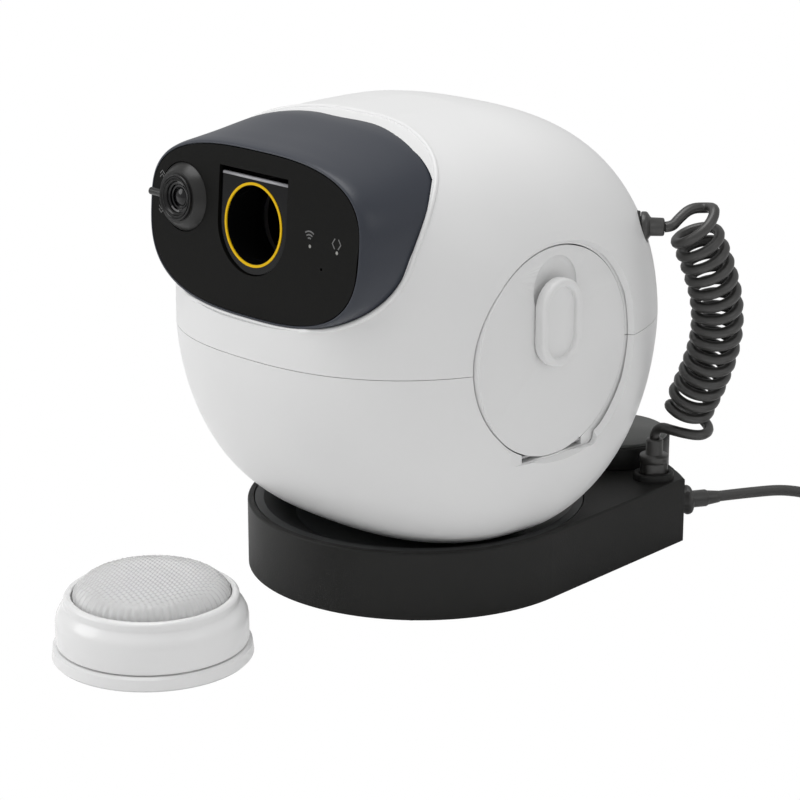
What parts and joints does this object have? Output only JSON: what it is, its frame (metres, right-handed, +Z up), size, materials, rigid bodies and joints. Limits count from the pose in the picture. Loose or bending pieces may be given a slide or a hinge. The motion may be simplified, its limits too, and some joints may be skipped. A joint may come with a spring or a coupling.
{
  "type": "treat tossing pet camera",
  "caption": "Egg-shaped pet camera with a turning head that tosses treats, side hopper door, dark base with a tapered tail, curly cord, power cord and separate push button.",
  "frame": {"origin": "on the head's turning axis at the floor", "axes": "+Z up, +Y towards the base's tail and its power cord, -Y towards the base's round front"},
  "size_m": [0.307, 0.4692, 0.2323],
  "materials": {
    "shell_white": "satin",
    "base_dark": "matte",
    "disc_dark": "matte",
    "face_dark": "matte",
    "snout_slate": "satin",
    "tower_grey": "satin",
    "ring_yellow": "satin",
    "inner_grey": "matte",
    "clear_smoke": "frosted",
    "lens_glass": "clear",
    "steel": "brushed",
    "rubber_black": "matte",
    "cord_grey": "satin",
    "board_green": "satin",
    "button_white": "satin",
    "dome_clear": "frosted",
    "light_white": "clear"
  },
  "bodies": {
    "base": {"base_housing": "base_dark", "base_plate": "base_dark", "base_feet": "rubber_black", "base_screws": "steel", "rear_tower": "base_dark", "tower_cap": "tower_grey", "cord_socket": "base_dark", "base_cord_plug": "cord_grey", "power_inlet": "base_dark", "power_plug": "cord_grey", "yaw_bearing": "steel", "yaw_motor": "steel", "base_board": "board_green", "curly_cord": "cord_grey", "curly_cord_lead": "cord_grey", "curly_cord_entry": "cord_grey", "power_cord_coil": "cord_grey", "power_cord": "cord_grey", "power_cord_tail": "cord_grey", "power_connector": "cord_grey", "button_case": "button_white", "button_base": "button_white", "button_feet": "rubber_black", "button_board": "board_green", "button_spring": "steel"},
    "pinion": {"yaw_pinion": "inner_grey"},
    "head": {"turntable": "disc_dark", "yaw_gear": "inner_grey", "upper_shell": "shell_white", "lower_shell": "shell_white", "shell_screws": "steel", "main_board": "board_green", "speaker": "base_dark", "snout_housing": "snout_slate", "face_panel": "face_dark", "status_lights": "light_white", "snout_frame": "inner_grey", "launch_barrel": "inner_grey", "toss_motor": "steel", "toss_spring": "steel", "hopper_tub": "clear_smoke", "feed_chute": "inner_grey", "wheel_motor": "steel", "door_pin": "steel", "head_socket": "rubber_black", "head_cord_plug": "cord_grey"},
    "nozzle": {"nozzle": "face_dark", "light_ring": "ring_yellow"},
    "plunger": {"plunger": "inner_grey"},
    "eye": {"camera_ball": "face_dark", "lens_ring": "face_dark", "camera_lens": "lens_glass", "tilt_lever": "face_dark"},
    "wheel": {"treat_wheel": "inner_grey"},
    "door": {"hopper_door": "shell_white", "door_seal": "rubber_black"},
    "latch": {"door_latch": "shell_white"},
    "button": {"button_dome": "dome_clear"}
  },
  "joints": [
    {"name": "head_yaw", "type": "hinge", "parent": "base", "child": "head", "pos_m": [0, 0, 0.0167], "axis": [0, 0, 1], "range_deg": [-72.5, 47.5], "deforming": ["curly_cord", "curly_cord_lead", "curly_cord_entry"]},
    {"name": "pinion_spin", "type": "hinge", "parent": "base", "child": "pinion", "pos_m": [-0.04688, 0, 0.0165], "axis": [0, 0, 1], "range_deg": [-200, 300]},
    {"name": "nozzle_tilt", "type": "hinge", "parent": "head", "child": "nozzle", "pos_m": [0.01984, -0.08948, 0.18865], "axis": [-0.9763, -0.2164, 0], "range_deg": [0, 6]},
    {"name": "plunger_slide", "type": "slide", "parent": "head", "child": "plunger", "axis": [0.2158, -0.9733, 0.0785], "range_m": [0, 0.06], "stiffness_N_per_m": 30, "deforming": ["toss_spring"]},
    {"name": "camera_tilt", "type": "hinge", "parent": "head", "child": "eye", "pos_m": [-0.02544, -0.10561, 0.19463], "axis": [0.9763, 0.2164, 0], "range_deg": [-15, 15]},
    {"name": "wheel_spin", "type": "hinge", "parent": "head", "child": "wheel", "pos_m": [0.05126, -0.00021, 0.1313], "axis": [0.9763, 0.2164, 0], "continuous": true},
    {"name": "door_hinge", "type": "hinge", "parent": "head", "child": "door", "pos_m": [0.09715, 0.00996, 0.0842], "axis": [-0.2164, 0.9763, 0], "range_deg": [0, 95]},
    {"name": "latch_slide", "type": "slide", "parent": "door", "child": "latch", "axis": [0, 0, -1], "range_m": [0, 0.003], "stiffness_N_per_m": 250, "springref_m": -0.001},
    {"name": "button_press", "type": "slide", "parent": "base", "child": "button", "axis": [0, 0, -1], "range_m": [0, 0.003], "stiffness_N_per_m": 300, "springref_m": -0.001, "deforming": ["button_spring"]}
  ],
  "couplings": [
    {"joint": "pinion_spin", "follows": "head_yaw", "ratio": -4}
  ]
}
